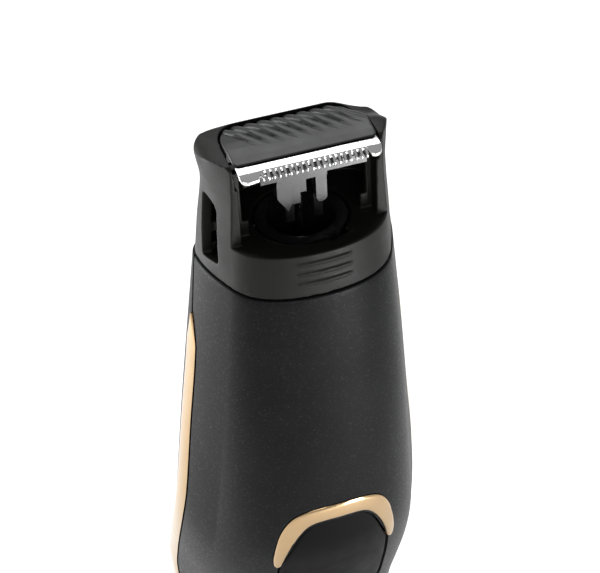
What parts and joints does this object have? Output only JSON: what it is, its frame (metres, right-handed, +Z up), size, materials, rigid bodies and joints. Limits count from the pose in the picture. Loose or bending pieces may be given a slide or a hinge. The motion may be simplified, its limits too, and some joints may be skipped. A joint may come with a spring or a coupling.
{
  "type": "beard trimmer",
  "caption": "Cordless beard trimmer: curved two-shell handle, coloured side strips and arch, pull-off head with a window, toothed steel blades and a ribbed guard pad.",
  "frame": {"origin": "middle of the flat base", "axes": "+Z up along the handle to the blades, -Y the front with the switch and the window, +X to the right seen from the back (the trimmer's left side is -X seen from the front)"},
  "size_m": [0.05, 0.0569, 0.165],
  "materials": {
    "body_black": "dark charcoal plastic with a fine metallic fleck",
    "head_black": "matte dark grey moulding",
    "inner_black": "plain black moulding",
    "pad_grey": "satin grey moulding with slanting ribs",
    "trim_gold": "satin champagne gold, anodised",
    "blade_steel": "bright ground steel",
    "dark_steel": "blackened steel screws",
    "nickel": "nickel plated, worn to satin",
    "seal_rubber": "soft black rubber",
    "wire_red": "red wire sleeve",
    "board_green": "green lacquered glass-fibre board",
    "cell_wrap": "blue shrink wrap over a metal cell",
    "lens_clear": "milky clear plastic"
  },
  "bodies": {
    "handle": {"front_shell": "body_black", "back_shell": "body_black", "side_trim_left": "trim_gold", "side_trim_right": "trim_gold", "arch_trim": "trim_gold", "switch_panel": "inner_black", "shell_screw_1": "dark_steel", "shell_screw_2": "dark_steel", "shell_screw_3": "dark_steel", "shell_screw_4": "dark_steel", "bottom_cap": "head_black", "charge_socket": "inner_black", "socket_pin": "nickel", "neck_spigot": "inner_black", "neck_seal": "seal_rubber", "chassis": "inner_black", "motor_can": "nickel", "motor_end_cap": "inner_black", "motor_terminal_left": "nickel", "motor_terminal_right": "nickel", "switch_body": "nickel", "circuit_board": "board_green", "control_chip": "inner_black", "capacitor": "nickel", "led_lens": "lens_clear", "led": "lens_clear", "battery_cell": "cell_wrap", "battery_tab_top": "nickel", "battery_tab_bottom": "nickel", "wire_left": "seal_rubber", "wire_right": "wire_red"},
    "drive": {"motor_shaft": "blade_steel", "eccentric_cam": "head_black", "drive_pin": "blade_steel"},
    "switch": {"switch_slider": "head_black"},
    "head": {"head_frame": "head_black", "guard_pad": "pad_grey", "pad_screw_left": "dark_steel", "pad_screw_right": "dark_steel", "fixed_blade": "blade_steel", "blade_spring": "blade_steel", "latch_leaf_left": "nickel", "latch_leaf_right": "nickel"},
    "cutter": {"moving_blade": "blade_steel", "blade_carrier": "inner_black"}
  },
  "joints": [
    {"name": "head_release", "type": "slide", "parent": "handle", "child": "head", "axis": [0, 0, 1], "range_m": [0, 0.04]},
    {"name": "blade_slide", "type": "slide", "parent": "head", "child": "cutter", "axis": [1, 0, 0], "range_m": [-0.0005, 0.0005]},
    {"name": "motor_spin", "type": "hinge", "parent": "handle", "child": "drive", "pos_m": [0, -0.024, 0.132], "axis": [0, 0, 1], "continuous": true},
    {"name": "switch_slide", "type": "slide", "parent": "handle", "child": "switch", "axis": [0, -0.3793, 0.9253], "range_m": [0, 0.005]}
  ]
}
